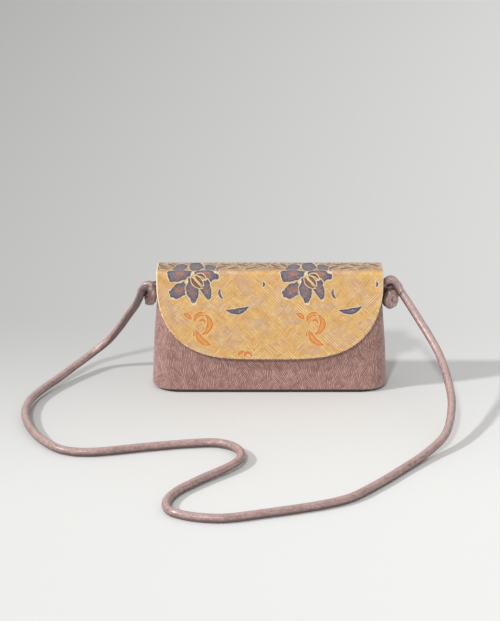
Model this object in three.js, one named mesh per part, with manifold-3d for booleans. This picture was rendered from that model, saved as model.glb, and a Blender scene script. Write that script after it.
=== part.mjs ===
// A small crossbody bag: a wedge-shaped fabric pouch with a rounded brocade flap and a knotted fabric cord for a strap.
// Millimetres, +Z up, front towards -Y, +X to the wearer's side that is on the right in a front view.
// The origin is the middle of the flat base, where the bag stands.
import * as THREE from "three";
import { mergeVertices } from "three/addons/utils/BufferGeometryUtils.js";
import Module from "manifold-3d";

const wasm = await Module();
wasm.setup();

// Clearance between pieces that are sewn, glued or laid together.
const gap = 0.3;

// Pouch, measured outside.
const pouchHeight = 119.6;
const baseHalfWidth = 115.8;
const sideTaper = 8.7;
const mouthHalfWidth = baseHalfWidth - sideTaper;
const baseHalfDepth = 24.5;
const mouthHalfDepth = 12;
const cornerRadius = 19;
const bottomRoundWidth = 8;
const bottomRoundDepth = 2.2;
const bottomRoundHeight = 6;
const panelBulge = 0.8;
const panelCrown = 1;
const sideCurve = 1.6;
const crownCurve = 0.8;
const leastFlatEnd = 0.5;
const shellWall = 1.8;
const liningWall = 0.6;
const boardThickness = 2;
const boardSeat = shellWall + gap;

// Flap: three layers over the mouth and down the front.
const flapSideOverhang = 3;
const flapHalfWidth = mouthHalfWidth + flapSideOverhang;
const flapLowEdge = 36.4;
const flapStraightDrop = 11.2;
const flapStraightTo = pouchHeight - flapStraightDrop;
const lowEdgeFlatHalf = 44;
const lowEdgeRise = 1.2;
const lowerHandleIn = 10;
const lowerHandleRise = 6;
const upperHandleRise = 48;
const rootOverhang = 0.8;
const flapRootDepth = mouthHalfDepth + rootOverhang;
const liningLayer = 0.5;
const stiffenerLayer = 0.8;
const brocadeLayer = 0.9;
const turnedEdge = 1.6;
const frontGapAtMouth = 1.8;
const foldRadius = 1;

// Magnetic snap.
const snapAboveEdge = 18;
const snapHeight = flapLowEdge + snapAboveEdge;
const snapRadius = 9;
const socketSeat = 0.8;
const socketThickness = 1.2;
const studPlate = 0.5;
const frontGapAtSnap = socketSeat + socketThickness + gap + studPlate + gap;
const pinRadius = 2.4;
const pinLength = 1;
const pinClearance = 1.2;
const washerRadius = 7;
const washerThickness = 0.5;
const washerPocket = 1;

// Woven motifs, raised a little from the ground cloth.
const motifThickness = 0.5;
const motifRepeat = 108;
const flowerFromEdge = 38.6;
const flowerBelowTop = 8.5;
const tuftAboveEdge = 6.5;
const foldClearance = 2;

// Strap cord and its knots.
const cordRadius = 4;
const cordSides = 8;
const seamHoleHeight = 103.5;
const knotOverlap = 1.5;

// How far cutters and blanks reach past the bag.
const reach = 200;

// Colours.
const mauveCloth = material(0x9e7a74, 0.75);
const mauveSatin = material(0xa5827d, 0.55);
const liningCloth = material(0xb9a79c, 0.85);
const goldBrocade = material(0xdfb066, 0.7);
const stiffCloth = material(0xe8e2d6, 0.9);
const greyWeft = material(0x5f5c70, 0.6);
const rustWeft = material(0xa5644b, 0.6);
const boardGrey = material(0x9b938a, 0.9);
const satinSteel = material(0xc9c6bf, 0.35, 1);

const bag = new THREE.Group();

function material(color, roughness, metalness = 0) {
  return new THREE.MeshStandardMaterial({ color, roughness, metalness });
}

function add(name, geometry, finish, parent = bag) {
  const mesh = new THREE.Mesh(geometry, finish);
  mesh.name = name;
  parent.add(mesh);
  return mesh;
}

// Booleans: a geometry as a solid, and a solid as a geometry.
function solid(geometry) {
  const bare = geometry.clone();
  bare.deleteAttribute("normal");
  bare.deleteAttribute("uv");
  const merged = mergeVertices(bare, 1e-4);
  return new wasm.Manifold(
    new wasm.Mesh({
      numProp: 3,
      vertProperties: new Float32Array(merged.attributes.position.array),
      triVerts: new Uint32Array(merged.index.array),
    }),
  );
}

function geometryOf(body) {
  const { vertProperties, triVerts } = body.getMesh();
  const geometry = new THREE.BufferGeometry();
  geometry.setAttribute("position", new THREE.BufferAttribute(vertProperties, 3));
  geometry.setIndex(new THREE.BufferAttribute(triVerts, 1));
  geometry.computeVertexNormals();
  return geometry;
}

function unite(bodies) {
  return bodies.reduce((joined, next) => joined.add(next));
}

// A block that spans two corners.
function block(low, high) {
  const size = high.map((value, axis) => value - low[axis]);
  const middle = high.map((value, axis) => (value + low[axis]) / 2);
  return solid(new THREE.BoxGeometry(...size).translate(...middle));
}

// A closed surface through rings of equal count, each end closed by a fan about its middle.
function loft(rings) {
  const count = rings[0].length;
  const positions = rings.flat().flatMap((point) => point.toArray());
  const index = [];
  for (let ring = 0; ring < rings.length - 1; ring++) {
    for (let i = 0; i < count; i++) {
      const here = ring * count + i;
      const next = ring * count + ((i + 1) % count);
      index.push(here, next, next + count, here, next + count, here + count);
    }
  }
  const last = (rings.length - 1) * count;
  for (const [first, turn] of [[0, false], [last, true]]) {
    const middle = positions.length / 3;
    const ring = first === 0 ? rings[0] : rings[rings.length - 1];
    positions.push(0, 0, ring[0].z);
    for (let i = 0; i < count; i++) {
      const here = first + i;
      const next = first + ((i + 1) % count);
      index.push(middle, ...(turn ? [here, next] : [next, here]));
    }
  }
  const geometry = new THREE.BufferGeometry();
  geometry.setAttribute("position", new THREE.Float32BufferAttribute(positions, 3));
  geometry.setIndex(index);
  geometry.computeVertexNormals();
  return geometry;
}

// The pouch's plan at a height: a rounded rectangle that narrows upwards, drawn in by the bottom rounding.
function pouchSize(z) {
  const rise = THREE.MathUtils.clamp(z / pouchHeight, 0, 1);
  const down = Math.max(0, 1 - z / bottomRoundHeight);
  const drawnIn = 1 - Math.sqrt(1 - down * down);
  const halfWidth = THREE.MathUtils.lerp(baseHalfWidth, mouthHalfWidth, rise ** sideCurve);
  const halfDepth = THREE.MathUtils.lerp(baseHalfDepth, mouthHalfDepth, rise);
  return {
    halfWidth: halfWidth - bottomRoundWidth * drawnIn,
    halfDepth: halfDepth + panelBulge * Math.sin(Math.PI * rise) - bottomRoundDepth * drawnIn,
  };
}

function frontOfPouch(z) {
  return pouchSize(z).halfDepth + panelCrown * crownAt(z);
}

function crownAt(z) {
  return Math.sin(Math.PI * THREE.MathUtils.clamp(z / pouchHeight, 0.08, 1)) ** crownCurve;
}

function pouchRing(shapeAt, z, inset) {
  const { halfWidth, halfDepth } = pouchSize(shapeAt);
  const width = halfWidth - inset;
  const depth = halfDepth - inset;
  const radius = Math.min(cornerRadius, halfDepth - leastFlatEnd) - inset;
  const cornerSteps = 5;
  const faceSteps = 6;
  const ring = [];
  const corners = [[1, 1], [-1, 1], [-1, -1], [1, -1]];
  corners.forEach(([sideX, sideY], quarter) => {
    for (let step = 0; step <= cornerSteps; step++) {
      const turn = ((quarter + step / cornerSteps) * Math.PI) / 2;
      const x = sideX * (width - radius) + radius * Math.cos(turn);
      const y = sideY * (depth - radius) + radius * Math.sin(turn);
      ring.push(new THREE.Vector3(x, y, z));
    }
    if (quarter % 2 === 0) {
      const from = sideX * (width - radius);
      for (let step = 1; step < faceSteps; step++) {
        const x = THREE.MathUtils.lerp(from, -from, step / faceSteps);
        ring.push(new THREE.Vector3(x, sideY * depth, z));
      }
    }
  });
  const crown = panelCrown * crownAt(shapeAt);
  ring.forEach((point) => {
    const across = 1 - (point.x / halfWidth) ** 2;
    point.y += (crown * across * point.y) / depth;
  });
  return ring;
}

// A cup with the pouch's form, open at the mouth.
function cup(outerInset, wall, floorAt, floorThickness, heights) {
  const above = heights.filter((z) => z > floorAt);
  const inside = heights.filter((z) => z > floorAt + floorThickness).reverse();
  const floorTop = floorAt + floorThickness;
  return solid(
    loft([
      pouchRing(floorAt, floorAt, outerInset),
      ...above.map((z) => pouchRing(z, z, outerInset)),
      ...inside.map((z) => pouchRing(z, z, outerInset + wall)),
      pouchRing(floorTop, floorTop, outerInset + wall),
    ]),
  );
}

// The two halves of a cup, either side of the side seams.
function halves(body) {
  const front = block([-reach, -reach, -reach], [reach, -gap / 2, reach]);
  const back = block([-reach, gap / 2, -reach], [reach, reach, reach]);
  return [body.intersect(front), body.intersect(back)];
}

const roundingShares = [0.08, 0.3, 0.6, 1];
const wallShares = [0.17, 0.37, 0.57, 0.78, 1];
const pouchHeights = [
  ...roundingShares.map((share) => share * bottomRoundHeight),
  ...wallShares.map((share) => share * pouchHeight),
];

function makePouch() {
  const basePrism = (inset, low, high) =>
    solid(loft([pouchRing(0, low, inset), pouchRing(0, high, inset)]));
  const hollow = basePrism(1 - gap, -1, boardSeat);
  const seamHole = new THREE.CylinderGeometry(cordRadius + gap, cordRadius + gap, 2 * reach, 20)
    .rotateZ(Math.PI / 2)
    .translate(0, 0, seamHoleHeight);
  const outer = cup(0, shellWall, 0, shellWall, pouchHeights).subtract(hollow).subtract(solid(seamHole));
  const [front, back] = halves(outer);
  const pocketDepth = shellWall + liningWall;
  const pocket = solid(snapDisc(washerRadius + gap, pocketDepth, washerPocket - shellWall - pocketDepth));
  add("shell_front", geometryOf(front.subtract(pocket)), mauveCloth);
  add("shell_back", geometryOf(back), mauveCloth);
  add("base_panel", geometryOf(basePrism(1, 0, shellWall)), mauveCloth);

  const boardInset = shellWall + 2 * gap;
  const boardTop = boardSeat + boardThickness;
  const board = loft([
    pouchRing(boardSeat, boardSeat, boardInset),
    pouchRing(boardSeat, boardTop, boardInset),
  ]);
  add("base_board", board, boardGrey);

  const lining = cup(shellWall + gap, liningWall, boardTop + gap, liningWall, pouchHeights);
  const [liningFront, liningBack] = halves(lining);
  add("lining_front", geometryOf(liningFront), liningCloth);
  add("lining_back", geometryOf(liningBack), liningCloth);
}

// The front of the flap lies in a plane that leans back from the snap to the mouth.
const planeLow = new THREE.Vector2(-(frontOfPouch(snapHeight) + frontGapAtSnap), snapHeight);
const planeHigh = new THREE.Vector2(-(frontOfPouch(pouchHeight) + frontGapAtMouth), pouchHeight);
const lean = Math.atan2(planeHigh.x - planeLow.x, planeHigh.y - planeLow.y);
const flapUnderTop = pouchHeight + gap;
const flapThickness = liningLayer + stiffenerLayer + brocadeLayer + 2 * gap;

// A disc square to the flap's front plane, its back face at a distance out from the pouch's front.
function snapDisc(radius, thickness, outBy) {
  return new THREE.CylinderGeometry(radius, radius, thickness, 28)
    .translate(0, -thickness / 2 - outBy, 0)
    .rotateX(-lean)
    .translate(0, -frontOfPouch(snapHeight), snapHeight);
}

// Where the front plane, moved out by an offset, is at a height.
function planeDepth(offset, z) {
  const alongY = planeLow.x + (z - planeLow.y) * Math.tan(lean);
  return alongY - offset / Math.cos(lean);
}

// The flap's side section between two offsets from its inner face, as an outline in Y and Z.
function flapSection(low, high, rootAt, bottom) {
  const face = (offset) => {
    const radius = foldRadius + offset;
    const top = flapUnderTop + offset;
    const foldCentreZ = top - radius;
    const turn = Math.PI / 2 - lean;
    const centreY = planeDepth(offset, foldCentreZ) + radius / Math.cos(lean);
    const arc = [];
    const steps = 6;
    for (let step = 0; step <= steps; step++) {
      const angle = (step / steps) * turn;
      arc.push(new THREE.Vector2(centreY - radius * Math.sin(angle), foldCentreZ + radius * Math.cos(angle)));
    }
    return [new THREE.Vector2(rootAt, top), ...arc, new THREE.Vector2(planeDepth(offset, bottom), bottom)];
  };
  return new THREE.Shape([...face(high), ...face(low).reverse()]);
}

// The flap's outline seen from the front: straight sides and a broad rounded lower edge.
function flapOutline(inset) {
  const side = flapHalfWidth - inset;
  const low = flapLowEdge + inset;
  const flat = lowEdgeFlatHalf;
  const flatEnd = low + lowEdgeRise;
  const lowerHandle = [side - lowerHandleIn, low + lowerHandleRise];
  const upperHandle = [side, flapLowEdge + upperHandleRise];
  const outline = new THREE.Shape();
  outline.moveTo(-side, reach);
  outline.lineTo(-side, flapStraightTo);
  outline.bezierCurveTo(-upperHandle[0], upperHandle[1], -lowerHandle[0], lowerHandle[1], -flat, flatEnd);
  outline.quadraticCurveTo(-flat / 2, low, 0, low);
  outline.quadraticCurveTo(flat / 2, low, flat, flatEnd);
  outline.bezierCurveTo(...lowerHandle, ...upperHandle, side, flapStraightTo);
  outline.lineTo(side, reach);
  outline.closePath();
  return outline;
}

function flapLayer(low, high, inset, rootInset = 0) {
  const section = flapSection(low, high, flapRootDepth - rootInset, flapLowEdge - foldClearance);
  const strip = new THREE.ExtrudeGeometry(section, { depth: 2 * reach, bevelEnabled: false });
  // The section's X and Y become the bag's Y and Z, and its extrusion runs along the bag's X.
  const turned = new THREE.Matrix4().makeBasis(
    new THREE.Vector3(0, 1, 0),
    new THREE.Vector3(0, 0, 1),
    new THREE.Vector3(1, 0, 0),
  );
  strip.applyMatrix4(turned).translate(-reach, 0, 0);
  const cutter = new THREE.ExtrudeGeometry(flapOutline(inset), { depth: 2 * reach, bevelEnabled: false, curveSegments: 14 });
  cutter.rotateX(Math.PI / 2).translate(0, reach, 0);
  return solid(strip).intersect(solid(cutter));
}

function makeFlap() {
  const inner = liningLayer + gap + stiffenerLayer + gap;
  const shell = flapLayer(0, flapThickness, 0).subtract(flapLayer(-0.5, inner, turnedEdge, turnedEdge));
  add("flap_brocade", geometryOf(shell), goldBrocade);

  const stiffenerFrom = liningLayer + gap;
  const innerEdge = turnedEdge + gap;
  const washerHole = snapDisc(washerRadius + gap, frontGapAtSnap + flapThickness, 0);
  const stiffener = flapLayer(stiffenerFrom, stiffenerFrom + stiffenerLayer, innerEdge, innerEdge);
  add("flap_stiffener", geometryOf(stiffener.subtract(solid(washerHole))), stiffCloth);
  add("flap_lining", geometryOf(flapLayer(0, liningLayer, innerEdge, innerEdge)), liningCloth);
}

function makeSnap() {
  const socket = solid(snapDisc(snapRadius, socketThickness, socketSeat));
  const hole = solid(snapDisc(pinRadius + pinClearance, 3 * socketThickness, 0));
  add("snap_socket", geometryOf(socket.subtract(hole)), satinSteel);
  const pocketFloor = washerPocket - shellWall;
  add("snap_socket_washer", snapDisc(washerRadius, washerThickness, pocketFloor - washerThickness), satinSteel);

  const studFace = frontGapAtSnap - gap - studPlate;
  const plate = solid(snapDisc(snapRadius, studPlate, studFace));
  const pin = solid(snapDisc(pinRadius, pinLength + studPlate, studFace - pinLength));
  add("snap_stud", geometryOf(plate.add(pin)), satinSteel);
  const washerAt = frontGapAtSnap + liningLayer + gap + (stiffenerLayer - washerThickness) / 2;
  add("snap_stud_washer", snapDisc(washerRadius, washerThickness, washerAt), satinSteel);
}

// Motifs lie on the flap's front, in a group whose local X and Y run across and up the plane.
const front = new THREE.Group();
front.position.set(0, planeDepth(flapThickness + gap, 0), 0);
front.rotation.x = Math.PI / 2 - lean;
bag.add(front);

const upPlane = 1 / Math.cos(lean);
const foldLine = flapUnderTop - foldClearance;

// The drawings below are in the pattern's own units, 108 to one repeat.
const unit = motifRepeat / 108;
const heartSize = 8;
const flowerX = flowerFromEdge - flapHalfWidth;
const flowerZ = pouchHeight - flowerBelowTop;

function extruded(shape) {
  return new THREE.ExtrudeGeometry(shape, { depth: motifThickness / unit, bevelEnabled: false, curveSegments: 7 });
}

// A motif that lies some units across and up from the left flower's middle.
function place(name, body, across, up, finish) {
  const geometry = geometryOf(body).scale(unit, unit, unit);
  const mesh = add(name, geometry, finish, front);
  mesh.position.set(flowerX + across * unit, (flowerZ + up * unit) * upPlane, 0);
}

function ellipse(x, y, length, width, degrees) {
  const shape = new THREE.Shape();
  shape.absellipse(x, y, length / 2, width / 2, 0, 2 * Math.PI, false, (degrees * Math.PI) / 180);
  return solid(extruded(shape));
}

// A peony seen face on: petals about a heart, cut off at the fold.
function flower() {
  const petals = [
    [-12, 4.5, 19, 10, 165],
    [-8, 8, 12, 9, 130],
    [1, 8, 10, 11, 90],
    [10, 4.5, 16, 11, 15],
    [-10.5, -6, 17, 12, 40],
    [-1.5, -11, 21, 10, 88],
    [9, -8.5, 20, 9, -62],
  ];
  const head = unite([ellipse(0, 0, 17, 15, 0), ...petals.map((petal) => ellipse(...petal))]);
  return head
    .subtract(ellipse(0, 0, heartSize + (2 * gap) / unit, heartSize + (2 * gap) / unit, 0))
    .intersect(block([-reach, -reach, -reach], [reach, ((foldLine - flowerZ) * upPlane) / unit, reach]));
}

function leaf() {
  const shape = new THREE.Shape();
  shape.moveTo(-9, 0);
  shape.quadraticCurveTo(-1, -5.5, 9.5, 3);
  shape.quadraticCurveTo(0, 4.5, -9, 0);
  return solid(extruded(shape));
}

function crescent() {
  const shape = new THREE.Shape();
  shape.moveTo(-3.5, -5.5);
  shape.quadraticCurveTo(5.5, -4, 3.5, 6.5);
  shape.quadraticCurveTo(1.5, -1.5, -3.5, -5.5);
  return solid(extruded(shape));
}

// A stroke of even width along a curve through points.
function stroke(points, width) {
  const curve = new THREE.SplineCurve(points.map(([x, y]) => new THREE.Vector2(x, y)));
  const along = curve.getSpacedPoints(10);
  const sides = [1, -1].map((side) =>
    along.map((point, i) => {
      const tangent = curve.getTangentAt(i / 10);
      const reach = (side * width * (0.55 + 0.45 * Math.sin((Math.PI * i) / 10))) / 2;
      return new THREE.Vector2(point.x - tangent.y * reach, point.y + tangent.x * reach);
    }),
  );
  return solid(extruded(new THREE.Shape([...sides[1], ...sides[0].reverse()])));
}

// A curled sprig of rust weft.
function sprig() {
  return unite([
    stroke([[-9, 9], [-3, 5], [2, 9], [8, 8.5]], 2.6),
    stroke([[6, 9.5], [7.5, 2], [2, -3], [-4, -4]], 2.8),
    stroke([[-4, -2], [-1, -8.5], [3, -12], [9, -14]], 3.4),
  ]);
}

function makeMotifs() {
  for (const [side, shift] of [["left", 0], ["right", 108]]) {
    place("flower_" + side, flower(), shift, 0, greyWeft);
    place("flower_heart_" + side, ellipse(0, 0, heartSize, heartSize, 0), shift, 0, rustWeft);
    place("leaf_" + side, leaf(), shift + 40.5, -28, greyWeft);
    place("crescent_" + side, crescent(), shift + 25, -12.5, greyWeft);
    place("sprig_" + side, sprig(), shift + 2.5, -43.5, rustWeft);
  }
  const tuft = unite([stroke([[-6, -2], [0, 1.5], [7, -1.5]], 3), stroke([[-2, 2.5], [1, 0], [3, 4]], 2.4)]);
  place("tuft", tuft, 48.5, (flapLowEdge + tuftAboveEdge - flowerZ) / unit, rustWeft);
}

// Each strap end is sewn into a side seam, through a hole in the shell as wide as the cord.
const seamHoleX = pouchSize(seamHoleHeight - cordRadius).halfWidth - shellWall;

// Each knot's cord, from the seam to where the strap leaves it: distances out from the seam, back, and up from the hole.
const leftKnot = [
  [0, 0, 0], [4.2, 0.3, -0.3], [9, 4.2, -6], [10.6, 1.8, -13], [9.8, -4, -15.4], [7.4, -6.6, -11.2],
  [7.6, -5.2, -4.4], [10.2, -2.6, 0.4], [14.2, -1.6, -1.2], [17.3, 0.5, -6.6], [19.8, 4.6, -13.2],
].map(([out, back, up]) => [-seamHoleX - out, back, seamHoleHeight + up]);
const rightKnot = [
  [0, 0, 0], [4.2, 0.3, -0.3], [9.8, 4.6, -6], [14.4, 3.6, -12.6], [12.6, -2, -18.6], [8.2, -6.4, -17], [7, -8.4, -10.6],
  [10.4, -7.6, -5.4], [14.2, -4, -8.6], [13, -1.5, -13.6], [9.4, 2.5, -11], [7.2, 4.2, -4.4], [6.8, 0.4, 2.6],
  [10.6, -1, 5.4], [15, -1.4, 2.8], [21.5, -7.3, -5.8],
].map(([out, back, up]) => [seamHoleX + out, back, seamHoleHeight + up]);

// The strap between its knots, as it lies: from the left knot, round over the floor, and up to the right knot.
const strapRoute = [
  [-131.6, 12, 79.3], [-138.4, 20.5, 67.3], [-152.3, 34, 44], [-163.5, 40, 29.3], [-179.8, 36.4, 17],
  [-194.7, 17, 11.5], [-209.7, -8, 8], [-222.2, -31, 6.5], [-231, -55.5, 6.2], [-233.6, -81.5, 6.5],
  [-231.2, -104, 6.5], [-224.5, -126, 6], [-211, -151, 4.9], [-192, -171, 4.3],
  [-170, -177, 4.2], [-112, -165, 4.2], [-78, -158, 4.2], [-50, -157, 4.7], [-34, -168, 5.6],
  [-27, -186, 6.2], [-31, -203, 6], [-66, -241, 5], [-83, -261, 4.6], [-91, -281, 4.3],
  [-88, -298, 4.2], [-73, -308, 4.2], [-46, -313, 4.2], [-12, -305, 4.2], [62, -277, 4.2],
  [89, -250, 4.2], [118, -213, 4.3], [140, -185, 6.2], [160.5, -156, 13], [169, -122, 24.6],
  [169.3, -97, 34.5], [161.8, -59.5, 54.5], [141.3, -21, 81.5],
];

// The whole cord from seam to seam, and the share of its length at each of its points.
const cordPoints = [...leftKnot, ...strapRoute, ...[...rightKnot].reverse()];
const cordCurve = new THREE.CatmullRomCurve3(cordPoints.map((point) => new THREE.Vector3(...point)));
const measuresPerPoint = 20;
cordCurve.arcLengthDivisions = measuresPerPoint * (cordPoints.length - 1);
const lengths = cordCurve.getLengths();
const shareAt = (point) => lengths[measuresPerPoint * point] / lengths.at(-1);

// A round tube along the cord between two shares of its length.
function tube(steps, from, to) {
  const corners = Array.from({ length: cordSides }, (_, i) => {
    const angle = (2 * Math.PI * i) / cordSides;
    return new THREE.Vector2(cordRadius * Math.cos(angle), cordRadius * Math.sin(angle));
  });
  const stretch = new THREE.CatmullRomCurve3(
    Array.from({ length: steps + 1 }, (_, i) => cordCurve.getPointAt(THREE.MathUtils.lerp(from, to, i / steps))),
  );
  stretch.arcLengthDivisions = measuresPerPoint * steps;
  return new THREE.ExtrudeGeometry(new THREE.Shape(corners), { steps, bevelEnabled: false, extrudePath: stretch });
}

// A knot is a cord that passes over itself, so it is joined from short lengths that don't.
function knot(firstPoint, lastPoint) {
  const parts = [];
  for (let point = firstPoint; point < lastPoint; point++) {
    const from = Math.max(shareAt(firstPoint), shareAt(point) - knotOverlap / lengths.at(-1));
    parts.push(solid(tube(2, from, shareAt(point + 1))));
  }
  return geometryOf(unite(parts));
}

function makeStrap() {
  const strapFrom = leftKnot.length - 1;
  const strapTo = cordPoints.length - rightKnot.length;
  const clear = gap / lengths.at(-1);
  add("strap_knot_left", knot(0, strapFrom), mauveSatin);
  add("strap_knot_right", knot(strapTo, cordPoints.length - 1), mauveSatin);
  add("strap_cord", tube(78, shareAt(strapFrom) + clear, shareAt(strapTo) - clear), mauveSatin);
}

makePouch();
makeFlap();
makeSnap();
makeMotifs();
makeStrap();

export default bag;
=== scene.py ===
"""A small crossbody bag: jacquard pouch, brocade flap and knotted cord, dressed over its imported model."""
import itertools
import math

import bmesh
import bpy
from mathutils import Matrix, Vector, noise


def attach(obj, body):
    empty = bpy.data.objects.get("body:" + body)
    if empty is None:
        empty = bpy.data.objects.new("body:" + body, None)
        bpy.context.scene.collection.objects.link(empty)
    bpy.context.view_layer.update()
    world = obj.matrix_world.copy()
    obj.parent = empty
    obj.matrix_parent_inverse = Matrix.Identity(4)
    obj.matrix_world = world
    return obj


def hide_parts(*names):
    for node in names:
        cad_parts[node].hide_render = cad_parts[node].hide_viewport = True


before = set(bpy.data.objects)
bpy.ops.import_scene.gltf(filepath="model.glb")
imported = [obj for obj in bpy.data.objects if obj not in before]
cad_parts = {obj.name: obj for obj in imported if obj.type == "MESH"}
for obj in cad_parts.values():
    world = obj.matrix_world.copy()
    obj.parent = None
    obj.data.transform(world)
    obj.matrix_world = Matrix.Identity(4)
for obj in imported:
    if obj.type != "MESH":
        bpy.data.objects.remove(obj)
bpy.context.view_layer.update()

# Measures are in millimetres, as in the bag's pattern, and are scaled to metres where a mesh is made.
MM = 0.001
GAP = 0.3

POUCH_HEIGHT = 119.6
BASE_HALF_WIDTH = 115.8
MOUTH_HALF_WIDTH = 107.1
BASE_HALF_DEPTH = 24.5
MOUTH_HALF_DEPTH = 12
CORNER_RADIUS = 19
BOTTOM_ROUND_WIDTH = 8
BOTTOM_ROUND_DEPTH = 2.2
BOTTOM_ROUND_HEIGHT = 6
PANEL_BULGE = 0.8
PANEL_CROWN = 1
SHELL_WALL = 1.8
BASE_CLOTH = 0.7
BASE_OUT = 2
LINING_CLOTH = 0.5
BOARD_TOP = 4.1

FLAP_HALF_WIDTH = 110.1
FLAP_LOW_EDGE = 36.4
FLAP_ROUND_HEIGHT = 72
FLAP_ROUNDNESS = 3.7
FLAP_ROOT = MOUTH_HALF_DEPTH + 0.8
FLAP_THICKNESS = 2.8
BROCADE_UNDERSIDE = 1.9
TURNED_EDGE = 1.6
INTERLINING_LOW = 0.8
INTERLINING_HIGH = 1.6
FOLD_RADIUS = 1
FOLD_CENTRE = POUCH_HEIGHT + GAP - FOLD_RADIUS
SNAP_HEIGHT = 54.4
GAP_AT_SNAP = 3.1
GAP_AT_MOUTH = 1.8

CORD_RADIUS = 4
SEAM_HOLE_HEIGHT = 103.5
SEAM_HOLE_X = 107.52


# Camera, at the height and distance that the bag's outline gives.
CAMERA_TILT = math.radians(20)
CAMERA_AIM = Vector((-19.2, 0, 76.88))
CAMERA_DISTANCE = 1900
FILM_HEIGHT = 36
LENS = 112


def put_in_scene(thing):
    bpy.context.scene.collection.objects.link(thing)


def make_camera():
    away = Vector((0, -math.cos(CAMERA_TILT), math.sin(CAMERA_TILT)))
    camera = bpy.data.objects.new("camera", bpy.data.cameras.new("camera"))
    camera.data.sensor_fit = "VERTICAL"
    camera.data.sensor_height = FILM_HEIGHT
    camera.data.lens = LENS
    camera.location = (CAMERA_AIM + CAMERA_DISTANCE * away) * MM
    camera.rotation_euler = (math.pi / 2 - CAMERA_TILT, 0, 0)
    put_in_scene(camera)
    bpy.context.scene.camera = camera


make_camera()


# Laying cloth: a flat grid of cloth whose points are moved to where they lie on the bag.
def lay_cloth(name, columns, rows, place, flat, face_out=None, from_edge=None):
    """A cloth of columns by rows. place says where a column and row lie, in mm, and flat their place on the
    uncut cloth, kept as UV in metres. face_out is the way that the cloth faces where it lies farthest that
    way. from_edge says how far, in mm, a column and row lie from the cloth's cut edge."""
    cloth = bmesh.new()
    bmesh.ops.create_grid(cloth, x_segments=columns, y_segments=rows, size=0.5)
    uncut = cloth.loops.layers.uv.new("cloth")
    edge_mark = cloth.verts.layers.float.new("from_edge")
    spot = {v: (round((v.co.x + 0.5) * columns), round((v.co.y + 0.5) * rows)) for v in cloth.verts}
    for face in cloth.faces:
        for corner in face.loops:
            corner[uncut].uv = Vector(flat(*spot[corner.vert])) * MM
    for vert, (column, row) in spot.items():
        vert.co = Vector(place(column, row)) * MM
        if from_edge is not None:
            vert[edge_mark] = from_edge(column, row)
    bmesh.ops.remove_doubles(cloth, verts=cloth.verts, dist=1e-6)
    bmesh.ops.recalc_face_normals(cloth, faces=cloth.faces)
    if face_out is not None:
        first = max(cloth.faces, key=lambda face: face.calc_center_median().dot(face_out))
        if first.normal.dot(face_out) < 0:
            bmesh.ops.reverse_faces(cloth, faces=cloth.faces)
    return to_piece(name, cloth)


def to_piece(name, shape, smooth=True):
    mesh = bpy.data.meshes.new(name)
    for face in shape.faces:
        face.smooth = smooth
    shape.to_mesh(mesh)
    shape.free()
    piece = bpy.data.objects.new(name, mesh)
    put_in_scene(piece)
    return piece


def finish_piece(piece, body, slot, material, *nodes):
    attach(piece, body)
    if nodes:
        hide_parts(*nodes)
    piece.data.materials.append(material)


def refinish(node, material):
    """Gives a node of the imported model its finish."""
    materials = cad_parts[node].data.materials
    materials.clear()
    materials.append(material)


def thicken(piece, thickness):
    """Gives a cloth its thickness, inwards from its outer face."""
    wall = piece.modifiers.new("cloth_thickness", "SOLIDIFY")
    wall.thickness = thickness * MM
    wall.offset = -1


def soft_noise(x, y, z, size):
    """Smooth waves from -1 to 1, the same on each run."""
    return noise.noise(Vector((x, y, z)) / size)


def smooth_step(low, high, value):
    share = min(1, max(0, (value - low) / (high - low)))
    return share * share * (3 - 2 * share)


def lerp(low, high, share):
    return low + (high - low) * share


def steps_along(points):
    """The distances from each point to the next."""
    return [(after - here).length for here, after in zip(points, points[1:])]


def run_along(steps):
    """How far along each point lies, from the distances between them."""
    return [0, *itertools.accumulate(steps)]


# The strap's route, in mm, as in the part's source.
# The knots are given from the side seams outwards, and the strap as it lies between them.
LEFT_KNOT = [
    [0, 0, 0], [4.2, 0.3, -0.3], [9, 4.2, -6], [10.6, 1.8, -13], [9.8, -4, -15.4], [7.4, -6.6, -11.2],
    [7.6, -5.2, -4.4], [10.2, -2.6, 0.4], [14.2, -1.6, -1.2], [17.3, 0.5, -6.6], [19.8, 4.6, -13.2],
]
RIGHT_KNOT = [
    [0, 0, 0], [4.2, 0.3, -0.3], [9.8, 4.6, -6], [14.4, 3.6, -12.6], [12.6, -2, -18.6], [8.2, -6.4, -17],
    [7, -8.4, -10.6], [10.4, -7.6, -5.4], [14.2, -4, -8.6], [13, -1.5, -13.6], [9.4, 2.5, -11],
    [7.2, 4.2, -4.4], [6.8, 0.4, 2.6], [10.6, -1, 5.4], [15, -1.4, 2.8], [21.5, -7.3, -5.8],
]
STRAP_ROUTE = [
    [-131.6, 12, 79.3], [-138.4, 20.5, 67.3], [-152.3, 34, 44], [-163.5, 40, 29.3], [-179.8, 36.4, 17],
    [-194.7, 17, 11.5], [-209.7, -8, 8], [-222.2, -31, 6.5], [-231, -55.5, 6.2], [-233.6, -81.5, 6.5],
    [-231.2, -104, 6.5], [-224.5, -126, 6], [-211, -151, 4.9], [-192, -171, 4.3],
    [-170, -177, 4.2], [-112, -165, 4.2], [-78, -158, 4.2], [-50, -157, 4.7], [-34, -168, 5.6],
    [-27, -186, 6.2], [-31, -203, 6], [-66, -241, 5], [-83, -261, 4.6], [-91, -281, 4.3],
    [-88, -298, 4.2], [-73, -308, 4.2], [-46, -313, 4.2], [-12, -305, 4.2], [62, -277, 4.2],
    [89, -250, 4.2], [118, -213, 4.3], [140, -185, 6.2], [160.5, -156, 13], [169, -122, 24.6],
    [169.3, -97, 34.5], [161.8, -59.5, 54.5], [141.3, -21, 81.5],
]


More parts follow.
